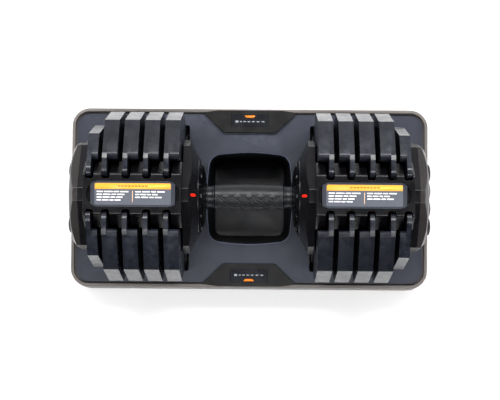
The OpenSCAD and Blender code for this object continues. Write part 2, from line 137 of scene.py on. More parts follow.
def mesh_object(name, verts, faces):
    mesh = bpy.data.meshes.new(name)
    bm = bmesh.new()
    made = [bm.verts.new(v) for v in verts]
    for face in faces:
        bm.faces.new([made[i] for i in face])
    bmesh.ops.remove_doubles(bm, verts=bm.verts, dist=1e-6)
    bmesh.ops.recalc_face_normals(bm, faces=bm.faces)
    bm.to_mesh(mesh)
    bm.free()
    obj = bpy.data.objects.new(name, mesh)
    bpy.context.scene.collection.objects.link(obj)
    return obj


def rings_object(name, rings, closed=False):
    """Skin over rings of the same number of points. closed joins the last ring to the first."""
    count = len(rings[0])
    verts = [v for ring in rings for v in ring]
    last = len(rings) if closed else len(rings) - 1
    faces = []
    for i in range(last):
        j = (i + 1) % len(rings)
        for k in range(count):
            m = (k + 1) % count
            faces.append((i * count + k, i * count + m, j * count + m, j * count + k))
    if not closed:
        faces.append(tuple(range(count)))
        faces.append(tuple(range((len(rings) - 1) * count, len(rings) * count)))
    return mesh_object(name, verts, faces)


def prism(name, outline, low, high, place):
    return rings_object(name, [[place(u, v, w) for u, v in outline] for w in (low, high)])


def loft(name, sections, place):
    """Skin over outlines, each given as (outline, height)."""
    return rings_object(name, [[place(u, v, w) for u, v in outline] for outline, w in sections])


def lathe(name, profile, sign, steps=96):
    """A closed profile of (radius, x), turned about the handle's axis."""
    angles = [2 * math.pi * i / steps for i in range(steps)]
    return rings_object(name, [[about_axis(sign * x, r, a) for r, x in profile] for a in angles], closed=True)


def settle(obj):
    """Replaces an object's mesh with what its modifiers make of it."""
    graph = bpy.context.evaluated_depsgraph_get()
    mesh = bpy.data.meshes.new_from_object(obj.evaluated_get(graph))
    obj.modifiers.clear()
    obj.data = mesh


def combine(obj, others, operation="DIFFERENCE"):
    """Cuts the others from obj, or adds them to it, and cleans the flat faces that this leaves split."""
    for other in others:
        modifier = obj.modifiers.new("combine", "BOOLEAN")
        modifier.operation = operation
        modifier.solver = "EXACT"
        modifier.object = other
    bpy.context.view_layer.update()
    settle(obj)
    for other in others:
        bpy.data.objects.remove(other)
    bm = bmesh.new()
    bm.from_mesh(obj.data)
    bmesh.ops.remove_doubles(bm, verts=bm.verts, dist=2e-6)
    bmesh.ops.dissolve_limit(bm, angle_limit=math.radians(0.3), verts=bm.verts, edges=bm.edges)
    bm.to_mesh(obj.data)
    bm.free()


def join(name, objects):
    """One object from several that have no materials yet."""
    mesh = bpy.data.meshes.new(name)
    bm = bmesh.new()
    for obj in objects:
        bm.from_mesh(obj.data)
        bpy.data.objects.remove(obj)
    bm.to_mesh(mesh)
    bm.free()
    joined = bpy.data.objects.new(name, mesh)
    bpy.context.scene.collection.objects.link(joined)
    return joined


def soften(obj, width, segments=3, angle=24):
    """Rounds the edges by width, as moulding and casting do."""
    modifier = obj.modifiers.new("soften", "BEVEL")
    modifier.limit_method = "ANGLE"
    modifier.angle_limit = math.radians(angle)
    modifier.width = width * MM
    modifier.segments = segments
    modifier.harden_normals = True
    modifier.miter_outer = "MITER_ARC"


def shade_smooth(obj):
    for polygon in obj.data.polygons:
        polygon.use_smooth = True


def place_piece(obj, body, material, nodes=(), width=0.0, segments=3, angle=24):
    """Gives a finished piece its edges, material and body, and hides the CAD nodes that it stands for."""
    obj.data.materials.clear()
    obj.data.materials.append(material)
    shade_smooth(obj)
    if width:
        soften(obj, width, segments, angle)
    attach(obj, body)
    if nodes:
        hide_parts(*nodes)


# ---------------------------------------------------------------- materials

def linear(red, green, blue):
    """A colour from screen values of 0 to 255."""
    values = [c / 255 for c in (red, green, blue)]
    return [((c + 0.055) / 1.055) ** 2.4 if c > 0.04 else c / 12.92 for c in values] + [1.0]


class Shader:
    """A node material under construction."""

    def __init__(self, name, roughness, metallic=0.0, specular=0.5):
        self.material = bpy.data.materials.new(name)
        self.material.use_nodes = True
        self.nodes = self.material.node_tree.nodes
        self.links = self.material.node_tree.links
        self.surface = self.nodes["Principled BSDF"]
        self.surface.inputs["Roughness"].default_value = roughness
        self.surface.inputs["Metallic"].default_value = metallic
        self.surface.inputs["Specular IOR Level"].default_value = specular
        self.place = self.nodes.new("ShaderNodeTexCoord").outputs["Object"]

    def noise(self, scale, detail=3.0, stretch=None):
        """Noise of a scale in cells per metre, squeezed along X, Y or Z by stretch."""
        node = self.nodes.new("ShaderNodeTexNoise")
        node.inputs["Scale"].default_value = scale
        node.inputs["Detail"].default_value = detail
        source = self.place
        if stretch:
            mapping = self.nodes.new("ShaderNodeMapping")
            mapping.inputs["Scale"].default_value = stretch
            self.links.new(source, mapping.inputs["Vector"])
            source = mapping.outputs["Vector"]
        self.links.new(source, node.inputs["Vector"])
        return node.outputs["Fac"]

    def band(self, value, low, high, to_low, to_high):
        """Maps a value from one range to another."""
        node = self.nodes.new("ShaderNodeMapRange")
        for key, number in zip(("From Min", "From Max", "To Min", "To Max"), (low, high, to_low, to_high)):
            node.inputs[key].default_value = number
        self.links.new(value, node.inputs["Value"])
        return node.outputs["Result"]

    def vary_roughness(self, value, middle, below, above):
        roughness = self.band(value, 0.3, 0.7, middle - below, middle + above)
        self.links.new(roughness, self.surface.inputs["Roughness"])

    def mix(self, factor, first, second):
        """Mixes two colours, each a constant or a socket."""
        node = self.nodes.new("ShaderNodeMix")
        node.data_type = "RGBA"
        self.links.new(factor, node.inputs[0])
        for socket, value in ((node.inputs[6], first), (node.inputs[7], second)):
            if isinstance(value, bpy.types.NodeSocket):
                self.links.new(value, socket)
            else:
                socket.default_value = value
        return node.outputs[2]

    def bump(self, heights):
        """Bumps from (height socket, depth in mm) pairs, one on the next."""
        normal = None
        for height, depth in heights:
            node = self.nodes.new("ShaderNodeBump")
            node.inputs["Distance"].default_value = depth * MM
            self.links.new(height, node.inputs["Height"])
            if normal:
                self.links.new(normal, node.inputs["Normal"])
            normal = node.outputs["Normal"]
        self.links.new(normal, self.surface.inputs["Normal"])

    def worn_edges(self, colour, worn, amount):
        """Lightens convex edges, broken up by noise."""
        point = self.nodes.new("ShaderNodeNewGeometry").outputs["Pointiness"]
        edge = self.band(point, 0.52, 0.60, 0.0, amount)
        patch = self.band(self.noise(140), 0.4, 0.65, 0.25, 1.0)
        product = self.nodes.new("ShaderNodeMath")
        product.operation = "MULTIPLY"
        self.links.new(edge, product.inputs[0])
        self.links.new(patch, product.inputs[1])
        return self.mix(product.outputs[0], colour, worn)


def shade(colour, factor):
    return [min(1.0, c * factor) for c in colour[:3]] + [1.0]


def moulded(name, colour, roughness=0.32, mottle=0.10, wear=0.35, specular=0.3):
    """Moulded plastic: fine grain, slow waviness of tone and sheen, rubbed edges."""
    grain, depth = 0.35, 0.008  # width and height of the grain in mm
    s = Shader(name, roughness, specular=specular)
    cloud = s.band(s.noise(22, 5), 0.3, 0.7, 0.0, 1.0)
    tone = s.mix(cloud, shade(colour, 1 - mottle), shade(colour, 1 + mottle))
    dusty = s.mix(s.band(s.noise(7, 6), 0.5, 0.75, 0.0, 0.16), tone, shade(colour, 1.8))
    s.links.new(s.worn_edges(dusty, shade(colour, 2.6), wear), s.surface.inputs["Base Color"])
    s.vary_roughness(s.noise(55, 4), roughness, 0.05, 0.06)
    s.bump([(s.noise(1 / (grain * MM), 2), depth), (s.noise(45, 2), depth * 1.5)])
    return s.material


def deck_plastic_painted_light(name, colour):
    """Moulded plastic with rubbed edges, painted shade darkening the well and bays towards their floors, and
    a painted highlight band along the top edges.
    """
    floor_z, top_z = 0.020, 0.0481  # metres, the heights between which the tone changes
    material = moulded(name, colour, roughness=0.40, wear=0.5)
    nodes, links = material.node_tree.nodes, material.node_tree.links
    surface = nodes["Principled BSDF"]
    tone = surface.inputs["Base Color"].links[0].from_socket
    place = nodes.new("ShaderNodeTexCoord")
    split = nodes.new("ShaderNodeSeparateXYZ")
    ramp = nodes.new("ShaderNodeValToRGB")
    height = nodes.new("ShaderNodeMapRange")
    mix = nodes.new("ShaderNodeMix")
    mix.data_type = "RGBA"
    mix.blend_type = "MULTIPLY"
    mix.inputs[0].default_value = 1.0
    links.new(place.outputs["Object"], split.inputs[0])
    height.inputs["From Min"].default_value = floor_z
    height.inputs["From Max"].default_value = top_z
    links.new(split.outputs["Z"], height.inputs["Value"])
    links.new(height.outputs["Result"], ramp.inputs["Fac"])
    # Painted light by height: painted shade towards the floors of the well and bays, and a painted highlight
    # band (level 4.5) just under the top edges
    stops = ramp.color_ramp.elements
    stops[0].position, stops[0].color = 0.0, (0.05, 0.05, 0.055, 1)
    stops[1].position, stops[1].color = 0.993, (1, 1, 1, 1)
    for position, level in ((0.55, 0.10), (0.93, 0.30), (0.955, 4.5), (0.982, 4.5)):
        stop = stops.new(position)
        stop.color = (level, level, level, 1)
    links.new(tone, mix.inputs[6])
    links.new(ramp.outputs["Color"], mix.inputs[7])
    links.new(mix.outputs[2], surface.inputs["Base Color"])
    return material


def coated_iron(name, colour):
    """Cast plate under a satin powder coat: orange peel, casting waviness and rubbed edges."""
    roughness = 0.29
    s = Shader(name, roughness, specular=0.5)
    tone = s.mix(s.band(s.noise(30, 6), 0.3, 0.7, 0.0, 1.0), shade(colour, 0.86), shade(colour, 1.14))
    scuff = s.mix(s.band(s.noise(90, 8, (1, 0.25, 1)), 0.60, 0.72, 0.0, 0.35), tone, shade(colour, 2.0))
    s.links.new(s.worn_edges(scuff, shade(colour, 3.4), 0.55), s.surface.inputs["Base Color"])
    s.vary_roughness(s.noise(70, 5), roughness, 0.06, 0.08)
    s.bump([(s.noise(1500, 2), 0.007), (s.noise(160, 3), 0.022)])
    return s.material


def rubber(name, colour, roughness=0.62):
    s = Shader(name, roughness, specular=0.35)
    tone = s.mix(s.band(s.noise(60, 5), 0.3, 0.7, 0.0, 1.0), shade(colour, 0.85), shade(colour, 1.2))
    s.links.new(tone, s.surface.inputs["Base Color"])
    s.vary_roughness(s.noise(120, 4), roughness, 0.08, 0.08)
    s.bump([(s.noise(2600, 2), 0.02), (s.noise(300, 2), 0.03)])
    return s.material


def metal(name, colour):
    """Turned and plated steel: fine rings about the handle's axis and tarnished patches."""
    roughness = 0.3
    s = Shader(name, roughness, metallic=1.0)
    tone = s.mix(s.band(s.noise(80, 5), 0.35, 0.7, 0.0, 1.0), shade(colour, 0.75), colour)
    s.links.new(tone, s.surface.inputs["Base Color"])
    s.vary_roughness(s.noise(200, 5), roughness, 0.08, 0.14)
    s.bump([(s.noise(3000, 2, (1, 0.04, 0.04)), 0.006)])
    return s.material


def print_film(name, colour):
    """Printed film under a clear layer, with faint ink grain."""
    roughness = 0.32
    s = Shader(name, roughness, specular=0.45)
    tone = s.mix(s.band(s.noise(900, 2), 0.3, 0.7, 0.0, 1.0), shade(colour, 0.95), shade(colour, 1.05))
    s.links.new(tone, s.surface.inputs["Base Color"])
    s.vary_roughness(s.noise(90, 3), roughness, 0.04, 0.05)
    s.bump([(s.noise(500, 2), 0.006)])
    return s.material


PLATE = coated_iron("plate_coat", linear(20, 22, 29))
SHELL = moulded("tray_shell_grey", linear(100, 95, 92), roughness=0.42, wear=0.2)
DECK = deck_plastic_painted_light("tray_deck_slate", linear(50, 53, 63))
CRADLE = moulded("cradle_slate", linear(30, 32, 39), roughness=0.4)
BLACK = moulded("black_moulding", linear(8, 8, 9), roughness=0.38)
BRIDGE = moulded("bridge_black", linear(8, 8, 11), roughness=0.30, wear=0.2)
HOUSING = moulded("housing_charcoal", linear(12, 12, 15), roughness=0.30)
COVER = moulded("cover_charcoal", linear(46, 43, 43), roughness=0.34)
DIAL = moulded("dial_black", linear(5, 5, 7), roughness=0.28, specular=0.25)
BADGE = moulded("badge_black", linear(18, 17, 17), roughness=0.34)
BADGE_PLATE = moulded("badge_plate_satin", linear(20, 22, 27), roughness=0.28, wear=0.1)
COLLAR = moulded("collar_satin", linear(24, 26, 31), roughness=0.32)
ORANGE = moulded("selector_orange", linear(226, 120, 32), roughness=0.4, wear=0.1)
NYLON = moulded("bushing_nylon", linear(196, 188, 168), roughness=0.4)
RED = moulded("index_red", linear(255, 38, 18), roughness=0.3, wear=0.0, mottle=0.04)
GRIP = rubber("grip_rubber", linear(17, 19, 23), roughness=0.40)
SOFT = rubber("soft_black_rubber", linear(8, 8, 9))
STEEL = metal("plated_steel", linear(190, 192, 196))
FILM = print_film("label_grey", linear(84, 87, 96))
FRAME_FILM = moulded("label_frame", linear(46, 49, 57), roughness=0.4)
AMBER = print_film("label_amber", linear(244, 168, 52))
WHITE = print_film("label_white", linear(240, 240, 242))
PALE_ORANGE = print_film("label_divider", linear(236, 190, 150))
MARK_ORANGE = print_film("badge_orange", linear(240, 130, 25))
DARK_INK = print_film("label_ink", linear(70, 52, 30))
DIAL_GREY = print_film("dial_print", linear(95, 97, 102))
BADGE_WHITE = print_film("badge_print", linear(150, 155, 162))


# ---------------------------------------------------------------- plates

WEB = 6.0  # thickness of the outer part, which has the tongues
RECESS_R = 45.0  # slot through the thick part
SLOT_R = 23.0  # slot between the tongues
# Half outlines from the axis: "shoulder" is the height of the thick part and "lower" goes on from it down to
# the foot. The tongue's top has a corner at "crown", given as y and the drop from the top, and at "tongue".
BIG = {"lower": [(98, 70), (115, 0), (98, -70), (52, -97)], "shoulder": 101.1,
       "crown": (46, 1.2), "tongue": (53, 96.3)}
SMALL = {"lower": [(80, 70), (96.5, 0), (80, -70), (50, -87.5)], "shoulder": 90.4,
         "crown": (35, 1), "tongue": (50.5, 87.2)}


def plate_outline(upper, upper_radii, lower, slot):
    """Outline open at the top, with a round-bottomed slot about the axis."""
    slot_side = 40  # any height on the slot's straight sides
    half = upper + lower
    radii = upper_radii + [2.5, 2.0, 2.5, 3.0]
    outer = fillet([(slot, slot_side)] + both(half) + [(-slot, slot_side)], [0] + radii + radii[::-1] + [0])
    return outer + arc(0, 0, slot, 180, 360, 24)


def plate(side, n):
    """Thick part, outer part with the tongues, and the lug under the bore that the selector disc catches."""
    name = f"plate_{side}_{n}"
    kind = BIG if n < 5 else SMALL
    x0, x1 = sorted(abs(x) for x in span(name, 0))
    top = span(name, 2)[1] - AXIS_Z
    crown_y, crown_drop = kind["crown"]
    place = along_x(SIDES[side])

    thick_outline = plate_outline([(RECESS_R, kind["shoulder"])], [6.6], kind["lower"], RECESS_R)
    tip = [(SLOT_R, top), (crown_y, top - crown_drop), kind["tongue"]]
    web_outline = plate_outline(tip, [10.0, 10.0, 6.0], kind["lower"], SLOT_R)
    iron = prism(name, thick_outline, x0, x1 - WEB, place)
    web = prism("web", web_outline, x1 - WEB - 0.01, x1, place)
    lug_x = x0 + (6.0 if n == 1 else 2.0)
    lug_half, lug_low, lug_high = 10, -31.5, -20
    corners = [(-lug_half, lug_low), (lug_half, lug_low), (lug_half, lug_high), (-lug_half, lug_high)]
    lug = prism("lug", corners, lug_x, x1 - WEB + 1, place)
    bore = prism("bore", arc(0, 0, SLOT_R, 0, 352.5, 47), x0 - 2, x1 + 2, place)
    combine(iron, [web, lug], "UNION")
    combine(iron, [bore])
    iron.name = f"iron_{name}"
    place_piece(iron, name, PLATE, [name], width=1.7)


for side_name in SIDES:
    for number in PLATES:
        plate(side_name, number)


# ---------------------------------------------------------------- housings and bridges

# Half outline of the housings as (y, height from the axis)
HEX_HALF = [(8.4, 75), (67, 39), (77.5, 0), (67, -39), (8.4, -75)]
HEX = fillet(both(HEX_HALF), 3.0, 4)


def ray_length(outline, angle):
    """Distance from the axis to the outline in a direction."""
    direction = Vector((math.cos(angle), math.sin(angle)))
    best = 0.0
    for i, point in enumerate(outline):
        a, b = Vector(point), Vector(outline[(i + 1) % len(outline)])
        edge = b - a
        cross = direction.x * edge.y - direction.y * edge.x
        if abs(cross) < 1e-9:
            continue
        t = (a.x * edge.y - a.y * edge.x) / cross
        s = (a.x * direction.y - a.y * direction.x) / cross
        if t > 0 and -1e-6 <= s <= 1 + 1e-6:
            best = max(best, t)
    return best


HEX_ANGLES = sorted({round(math.atan2(v, u) % (2 * math.pi), 6) for u, v in HEX}
                    | {round(2 * math.pi * i / 144, 6) for i in range(144)})
HEX_RADII = [ray_length(HEX, a) for a in HEX_ANGLES]


def polar_object(name, sign, profile_at):
    """A closed shell about the axis. profile_at(radius of the hexagon, angle) gives (radius, x) points."""
    rings = []
    for angle, reach in zip(HEX_ANGLES, HEX_RADII):
        rings.append([about_axis(sign * x, r, angle) for r, x in profile_at(reach, angle)])
    return rings_object(name, rings, closed=True)


BORE_R = 15.1  # radius of the housings' holes for the bushings
SEAM_X = span("inner_housing_right", 0)[0]  # where the dished face of a housing meets its dial
SEAM_R = 52.6  # radius there
FACE_X = 79.0  # flat rim round the dish
CONE_R = 75.0  # outer radius of the dish


def inner_housing(side):
    """Dished housing next to the grip, with the dial in its middle."""
    node = f"inner_housing_{side}"
    back_x = max(abs(x) for x in span(node, 0))
    seat_x, seat_r, lip_x, lip_r = 72, 49, 69.6, 49.6  # seat behind the dial
    hub_r, hollow_r, wall = 19, 51, 2

    def profile(reach, _):
        edge_r = min(CONE_R, reach)
        edge_x = SEAM_X + (edge_r - SEAM_R) / (CONE_R - SEAM_R) * (FACE_X - SEAM_X)
        rim_x = FACE_X if reach > CONE_R else edge_x + 0.05
        return [(BORE_R, seat_x), (seat_r, seat_x), (lip_r, lip_x),
                (SEAM_R - 0.5, SEAM_X + 0.3), (SEAM_R + 0.7, SEAM_X + 0.2),
                ((SEAM_R + edge_r) / 2, (SEAM_X + edge_x) / 2), (edge_r, edge_x), (reach, rim_x),
                (reach, back_x), (hollow_r, back_x), (hollow_r, FACE_X - wall), (hub_r, FACE_X - wall),
                (hub_r, back_x), (BORE_R, back_x)]

    shell = polar_object(f"shell_{node}", SIDES[side], profile)
    place_piece(shell, "core", HOUSING, [node], width=0.8, angle=20)


def index_mark(side):
    """Pointer on top of the dish, which follows the dish's slope."""
    sign = SIDES[side]
    x0, x1, half = 69.9, 76.2, 1.9
    root, proud = -3.0, 1.1  # below and above the dish
    outline = fillet([(x0, -half), (x1, -half), (x1, half), (x0, half)], 1.7, 6)

    def height(x):
        return AXIS_Z + SEAM_R + (x - SEAM_X) / (FACE_X - SEAM_X) * (CONE_R - SEAM_R)

    return rings_object("mark", [[(sign * u * MM, v * MM, (height(u) + lift) * MM) for u, v in outline]
                                 for lift in (root, proud)])


def fill_centre(obj):
    """Closes the small hole that a polar shell leaves on the axis."""
    bm = bmesh.new()
    bm.from_mesh(obj.data)
    near = [v for v in bm.verts if math.hypot(v.co.y, v.co.z - AXIS_Z * MM) < 3 * MM]
    bmesh.ops.delete(bm, geom=[f for f in bm.faces if all(v in near for v in f.verts)], context="FACES")
    bmesh.ops.holes_fill(bm, edges=[e for e in bm.edges if e.is_boundary])
    bmesh.ops.recalc_face_normals(bm, faces=bm.faces)
    bm.to_mesh(obj.data)
    bm.free()


def follow(points, at):
    """Height of a run of (distance, height) points at a distance."""
    for (u0, v0), (u1, v1) in zip(points, points[1:]):
        if at <= u1:
            return v0 + (v1 - v0) * (at - u0) / (u1 - u0)
    return points[-1][1]


def end_parts(side):
    """Outer housing, a hexagonal band, and the domed cover that closes it."""
    sign = SIDES[side]
    node, cover_node = f"end_housing_{side}", f"end_cover_{side}"
    x0, x1 = sorted(abs(x) for x in span(node, 0))
    tip = max(abs(x) for x in span(cover_node, 0))
    cut = 57.5  # y at which the 45 degree cut would reach the tip's plane
    inner_share = 0.957  # of the band's radius, inside its wall
    wall, floor, lap = 3.2, 3, 0.02
    # Plan of the end as (y, x): flat in the middle, cut off at 45 degrees towards the front and back
    plan = [(0, tip), (36, tip), (50, tip - 1), (58, tip - 2.5), (62, tip + cut - 62), (79, tip + cut - 79)]
    # Dome as (radius, x)
    dome = [(0, tip), (30, tip), (50, tip - 0.6), (66, tip - 3.5), (84, x1 + 1)]

    def limit(reach, angle, x):
        """Radius at which the plan's 45 degree cut meets a distance along the axis."""
        return min(reach, (cut + tip - x) / max(1e-6, abs(math.cos(angle))))

    def surface(radius, angle):
        return min(follow(dome, radius), follow(plan, radius * abs(math.cos(angle))))

    def band(reach, angle):
        edge = limit(reach, angle, x1)
        return [(BORE_R, x0), (reach, x0), (limit(reach, angle, x0 + 5), x0 + 5), (edge, x1),
                (edge * inner_share, x1), (edge * inner_share, x0 + floor), (BORE_R, x0 + floor)]

    shell = polar_object(f"shell_{node}", sign, band)
    place_piece(shell, "core", HOUSING, [node], width=0.9, angle=20)

    def cover(reach, angle):
        edge = limit(reach, angle, x1)
        flat_r, runs = 30, 14
        radii = [edge - lap] + [edge + (flat_r - edge) * k / runs for k in range(1, runs + 1)] + [15, 2]
        outer = [(r, max(x1 + 0.1, surface(r, angle))) for r in radii]
        inner = [(2, tip - wall), (28, tip - wall), (48, surface(48, angle) - wall - 0.2),
                 (edge * inner_share, x1 + lap)]
        return [(edge, x1 + lap)] + outer + inner

    lid = polar_object(f"dome_{cover_node}", sign, cover)
    fill_centre(lid)
    place_piece(lid, "core", COVER, [cover_node], width=0.7, angle=14)


# Half outlines of the crossbeam and of its hollow, as (y, height from the axis)
BRIDGE_HALF = [(26.5, 95.5), (43.5, 68), (43.5, 5)]
CAVITY_HALF = [(22, 86), (40.3, 64), (40.3, -1)]
SLOT_W = 11.0  # the ten slots for the tongues
SLOT_Y = 19.7  # where a slot begins, from the middle
SLOT_SHIFT = 1.3  # how far a slot's middle is inwards of its tongue's
STADIUM_R = 17.2  # round ends of the label's well
STADIUM_REACH = 6  # how far the well goes past the label panel's ends


def bridge(side):
    """Arched crossbeam with the slots and the label's well, which is deeper at its round ends."""
    node = f"bridge_{side}"
    sign = SIDES[side]
    place = along_x(sign)
    x0, x1 = sorted(abs(x) for x in span(node, 0))
    panel = sorted(abs(x) for x in span(f"label_panel_{side}", 0))
    top = span(node, 2)[1]
    end_wall, bore_r, slot_end = 3, 15.3, 64
    well_depth, hollow_depth = 2.5, 7
    beam = prism(f"beam_{node}", fillet(both(BRIDGE_HALF), [4.0, 6.0, 1.0, 1.0, 6.0, 4.0]), x0, x1, place)
    cavity = prism("cavity", both(CAVITY_HALF), x0 + end_wall, x1 - end_wall, place)
    bore = prism("bore", arc(0, 0, bore_r, 0, 350, 35), x0 - 1, x1 + 1, place)
    cuts = [cavity, bore]
    for n in PLATES:
        middle = max(abs(x) for x in span(f"plate_{side}_{n}", 0)) - WEB / 2 - SLOT_SHIFT
        low, high = middle - SLOT_W / 2, middle + SLOT_W / 2
        corners = [(low, SLOT_Y), (high, SLOT_Y), (high, slot_end), (low, slot_end)]
        for sy in (1, -1):
            cuts.append(prism("slot", fillet(corners, [3.6, 3.6, 0, 0], 5), AXIS_Z - 5, AXIS_Z + 120,
                              upright(sign, sy)))
    combine(beam, cuts)
    low, high = panel[0] - STADIUM_REACH + STADIUM_R, panel[1] + STADIUM_REACH - STADIUM_R
    stadium = arc(high, 0, STADIUM_R, -90, 90, 20) + arc(low, 0, STADIUM_R, 90, 270, 20)
    hollows = [prism("recess", stadium, top - well_depth, top + 5, upright(sign))]
    for centre, start in ((high, -90), (low, 90)):
        moon = arc(centre, 0, STADIUM_R - 0.8, start, start + 180, 20)
        hollows.append(prism("hollow", moon, top - hollow_depth, top - 1, upright(sign)))
    combine(beam, hollows)
    place_piece(beam, "core", BRIDGE, [node], width=0.8, angle=28)


def label_panel(node, mid, half_x, half_y, z0, z1):
    """Panel with a raised lip, whose corners follow the round ends of the bridge's well."""
    lip_width, lip_height = 1.1, 0.6
    offset = half_x + STADIUM_REACH - STADIUM_R

    def trimmed(name, shrink, low, high):
        radius = STADIUM_R - 0.3 - shrink
        first = math.degrees(math.acos((half_x - shrink - offset) / radius))
        last = math.degrees(math.asin((half_y - shrink) / radius))
        points = []
        for centre, start, end in ((mid + offset, first, last), (mid - offset, 180 - last, 180 - first),
                                   (mid - offset, 180 + first, 180 + last),
                                   (mid + offset, 360 - last, 360 - first)):
            points += arc(centre, 0, radius, start, end)
        return prism(name, points, low, high, upright())

    panel = trimmed(f"panel_{node}", 0, z0, z1 - lip_height)
    lip = trimmed("lip", 0, z1 - lip_height - 0.1, z1)
    combine(lip, [trimmed("hole", lip_width, z1 - lip_height - 0.3, z1 + 1)])
    combine(panel, [lip], "UNION")
    place_piece(panel, "core", FRAME_FILM, [node], width=0.25, segments=2)


def label(side):
    """Recessed panel with a printed film: an amber header and plain bars in place of words."""
    node = f"label_panel_{side}"
    x0, x1 = sorted(span(node, 0))
    y0, y1 = span(node, 1)
    z0, z1 = span(node, 2)
    mid, half_x, half_y = (x0 + x1) / 2, (x1 - x0) / 2, (y1 - y0) / 2
    label_panel(node, mid, half_x, half_y, z0, z1)

    def flat(name, cx, cy, hx, hy, radius, low, high):
        points = [(cx + u, cy + v) for u, v in rounded(hx, hy, radius, 5)]
        return prism(name, points, low, high, upright())

    film_x, film_y, film_z = half_x - 5.2, half_y - 2.6, z1 - 0.5
    film = flat(f"film_{node}", mid, 0, film_x, film_y, 2.2, film_z - 0.2, film_z + 0.15)
    place_piece(film, "core", FILM, width=0.05, segments=1)
    margin, header_foot = 0.4, film_y - 7.9
    edge_x, edge_y = film_x - margin, film_y - margin
    corners = [(-edge_x, edge_y), (-edge_x, header_foot), (edge_x, header_foot), (edge_x, edge_y)]
    outline = [(mid + u, v) for u, v in fillet(corners, [1.9, 0.2, 0.2, 1.9])]
    header = prism(f"header_{node}", outline, film_z + 0.1, film_z + 0.2, upright())
    place_piece(header, "core", AMBER)

    low, high = film_z + 0.12, film_z + 0.22
    row_pitch, word_gap = 3.6, 1.2
    word_shares = (0.22, 0.30, 0.19, 0.29)  # of a row's length without its gaps
    text_top = film_y - 11.3
    # Left edge of each column and the lengths of its rows
    columns = ((mid - film_x + 2.8, (41, 36, 33.5, 31)), (mid + 3.2, (38, 29, 34)))
    white = []
    for left, widths in columns:
        for row, width in enumerate(widths):
            start = left
            y = text_top - row_pitch * row
            for share in word_shares:
                half = share * (width - 3 * word_gap) / 2
                white.append(flat("bar", start + half, y, half, 0.8, 0.4, low, high))
                start += 2 * half + word_gap
    place_piece(join(f"bars_{node}", white), "core", WHITE)
    divider = flat(f"divider_{node}", mid - 0.3, -3.4, 0.4, 7.4, 0.3, low, high)
    place_piece(divider, "core", PALE_ORANGE)
    dash_count, dash_pitch, ink_lift = 9, 4.4, 0.1
    ink = []
    for k in range(dash_count):
        centre = mid + dash_pitch * (k - (dash_count - 1) / 2)
        ink.append(flat("dash", centre, film_y - 4, 1.7, 0.6, 0.3, low + ink_lift, high + ink_lift))
    place_piece(join(f"dashes_{node}", ink), "core", DARK_INK)


for side_name in SIDES:
    inner_housing(side_name)
    end_parts(side_name)
    bridge(side_name)
    label(side_name)
marks = join("index_pointers", [index_mark(side_name) for side_name in SIDES])
place_piece(marks, "core", RED, ["index_marks"], width=0.4)


# ---------------------------------------------------------------- handle

GRIP_HALF = span("grip", 0)[1]
GRIP_R = (span("grip", 2)[1] - span("grip", 2)[0]) / 2
GRIP_END_R = 16.5
GRIP_BORE_R = 13.1


def smooth_step(t):
    t = max(0.0, min(1.0, t))
    return t * t * (3 - 2 * t)


def diamond_distance(x, angle):
    """Distance to the nearest diamond's middle, as a share of its half width. Rows are staggered."""
    pitch_x, pitch_angle = 15.8, math.radians(24)
    half_x, half_angle = 4.6, 0.20
    row = round(angle / pitch_angle)
    nearest = 9.0
    for k in (row - 1, row, row + 1):
        offset = 0.5 * pitch_x * (k % 2)
        dx = (x - offset + pitch_x / 2) % pitch_x - pitch_x / 2
        nearest = min(nearest, abs(dx) / half_x + abs(angle - k * pitch_angle) / half_angle)
    return nearest


def grip():
    """Barrel with staggered raised diamonds on the front that fade out towards the back."""
    steps_x, steps_angle = 230, 224
    pad_height, groove_depth, end_chamfer = 0.75, 0.45, 0.5
    rings = []
    for i in range(steps_angle):
        angle = 2 * math.pi * i / steps_angle
        from_top = angle - math.pi / 2
        ahead = math.degrees(math.remainder(from_top, 2 * math.pi))
        fade = smooth_step((ahead + 14) / 26) * smooth_step((170 - ahead) / 30)
        ring = []
        for j in range(steps_x + 1):
            x = -GRIP_HALF + 2 * GRIP_HALF * j / steps_x
            radius = GRIP_R - (GRIP_R - GRIP_END_R) * (x / GRIP_HALF) ** 2
            edge = smooth_step((GRIP_HALF - abs(x)) / 6)
            share = diamond_distance(x, from_top)
            pad = smooth_step((1.18 - share) / 0.35)
            groove = math.exp(-((share - 1.32) / 0.16) ** 2)
            radius += fade * edge * (pad_height * pad - groove_depth * groove)
            if j in (0, steps_x):
                radius -= end_chamfer
            ring.append(about_axis(x, radius, angle))
        ring += [about_axis(x, GRIP_BORE_R, angle) for x in (GRIP_HALF, -GRIP_HALF)]
        rings.append(ring)
    sleeve = rings_object("sleeve_grip", rings, closed=True)
    place_piece(sleeve, "handle", GRIP, ["grip"])
    sleeve.data.set_sharp_from_angle(angle=math.radians(50))


def collar(side):
    node = f"collar_{side}"
    x0, x1 = sorted(abs(x) for x in span(node, 0))
    profile = [(GRIP_BORE_R, x0), (14.9, x0), (15.3, x0 + 0.4), (15.3, x0 + 1.7), (14.7, x0 + 2.4),
               (14.5, x0 + 3.2), (14.5, x1 - 2.6), (14.8, x1 - 1.6), (15.6, x1 - 1.0), (15.6, x1),
               (GRIP_BORE_R, x1)]
    ring = lathe(f"ring_{node}", profile, SIDES[side])
    place_piece(ring, "handle", COLLAR, [node], width=0.25, segments=2)


# Face of the dial as (radius, x)
DIAL_CONE = [(16.0, 57.8), (33.0, 59.8), (40.0, 61.5), (52.0, 67.0)]


def dial_surface(radius):
    """Distance of the cone's face along the axis at a radius."""
    return follow(DIAL_CONE, radius)


